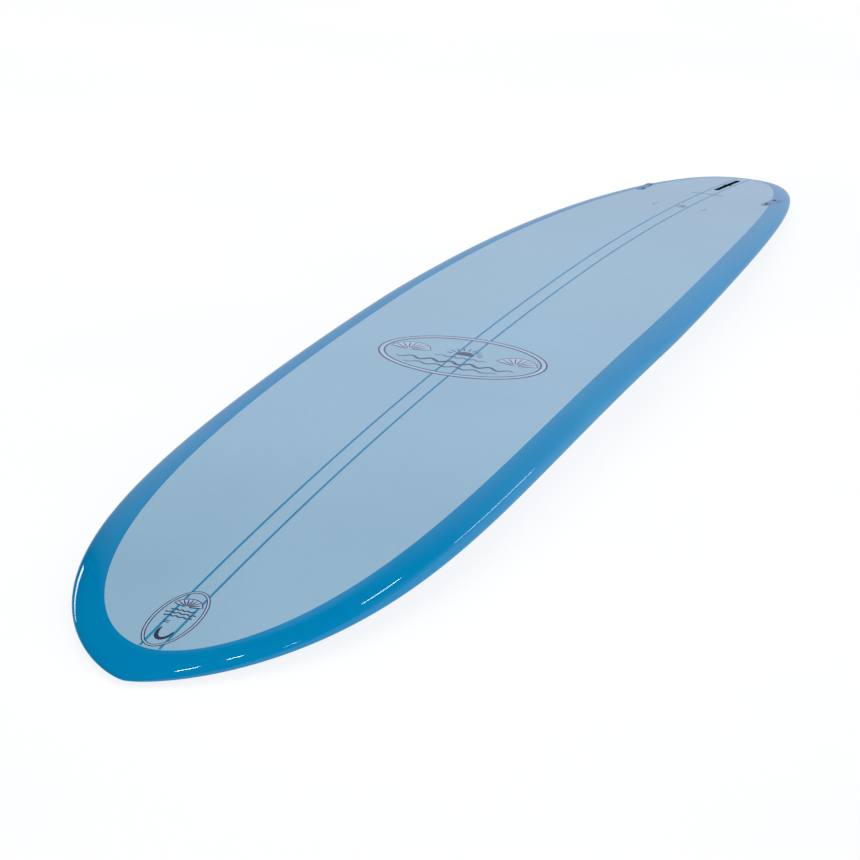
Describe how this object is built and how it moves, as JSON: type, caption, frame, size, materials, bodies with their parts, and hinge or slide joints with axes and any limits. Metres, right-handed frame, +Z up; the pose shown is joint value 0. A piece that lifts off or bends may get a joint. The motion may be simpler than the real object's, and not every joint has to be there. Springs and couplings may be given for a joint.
{
  "type": "surfboard",
  "caption": "Longboard surfboard lying bottom up: pale panels, blue rail band, slotted centre fin box, side fin boxes, leash plug and vent plug around a foam and wood core.",
  "frame": {"origin": "on the floor under the middle of the board's length and width, with the board lying on its deck", "axes": "+X from tail to nose, +Z up out of the bottom, +Y to the rail that is on the left of someone who looks from tail to nose"},
  "size_m": [2.896, 0.564, 0.1097],
  "materials": {
    "pale_glass": "clear gloss over pale blue laminate",
    "blue_glass": "clear gloss over deep blue laminate",
    "foam": "shaped closed-cell foam",
    "dense_foam": "dense foam insert",
    "wood": "bare softwood",
    "black_plastic": "moulded black plastic",
    "pale_plastic": "moulded pale plastic",
    "brass": "plain brass",
    "steel": "stainless steel",
    "rubber": "rubber seal"
  },
  "bodies": {
    "board": {"bottom_skin": "pale_glass", "rail_skin": "blue_glass", "deck_skin": "pale_glass", "foam_core_left": "foam", "foam_core_right": "foam", "stringer": "wood", "stringer_tail_end": "wood", "center_fin_box": "black_plastic", "fin_box_foam": "dense_foam", "side_fin_box_left": "pale_plastic", "side_box_foam_left": "dense_foam", "side_fin_box_right": "pale_plastic", "side_box_foam_right": "dense_foam", "leash_plug_cup": "black_plastic", "leash_plug_bar": "steel", "leash_plug_foam": "dense_foam", "vent_plug_body": "black_plastic"},
    "nut": {"fin_nut_plate": "brass"},
    "fin_screw": {"fin_screw": "steel"},
    "grub_left_front": {"grub_screw_left_front": "steel"},
    "grub_left_rear": {"grub_screw_left_rear": "steel"},
    "grub_right_front": {"grub_screw_right_front": "steel"},
    "grub_right_rear": {"grub_screw_right_rear": "steel"},
    "vent": {"vent_screw": "black_plastic", "vent_o_ring": "rubber"}
  },
  "joints": [
    {"name": "nut_slide", "type": "slide", "parent": "board", "child": "nut", "axis": [0.9937, 0, 0.1123], "range_m": [-0.018, 0.154]},
    {"name": "fin_screw_turn", "type": "hinge", "parent": "nut", "child": "fin_screw", "pos_m": [-1.33023, 0, 0.01964], "axis": [-0.1123, 0, 0.9937], "range_deg": [0, 810]},
    {"name": "grub_left_front_turn", "type": "hinge", "parent": "board", "child": "grub_left_front", "pos_m": [-1.07358, -0.15229, 0.05389], "axis": [-0.0985, -0.0148, 0.995], "range_deg": [-90, 450]},
    {"name": "grub_left_rear_turn", "type": "hinge", "parent": "board", "child": "grub_left_rear", "pos_m": [-1.13325, -0.15438, 0.04796], "axis": [-0.0985, -0.0148, 0.995], "range_deg": [-90, 450]},
    {"name": "grub_right_front_turn", "type": "hinge", "parent": "board", "child": "grub_right_front", "pos_m": [-1.07358, 0.15229, 0.05389], "axis": [-0.0985, 0.0148, 0.995], "range_deg": [-90, 450]},
    {"name": "grub_right_rear_turn", "type": "hinge", "parent": "board", "child": "grub_right_rear", "pos_m": [-1.13325, 0.15438, 0.04796], "axis": [-0.0985, 0.0148, 0.995], "range_deg": [-90, 450]},
    {"name": "vent_screw_turn", "type": "hinge", "parent": "board", "child": "vent", "pos_m": [0.93002, 0.05498, 0.01458], "axis": [-0.0476, 0.0345, -0.9983], "range_deg": [0, 810]}
  ]
}
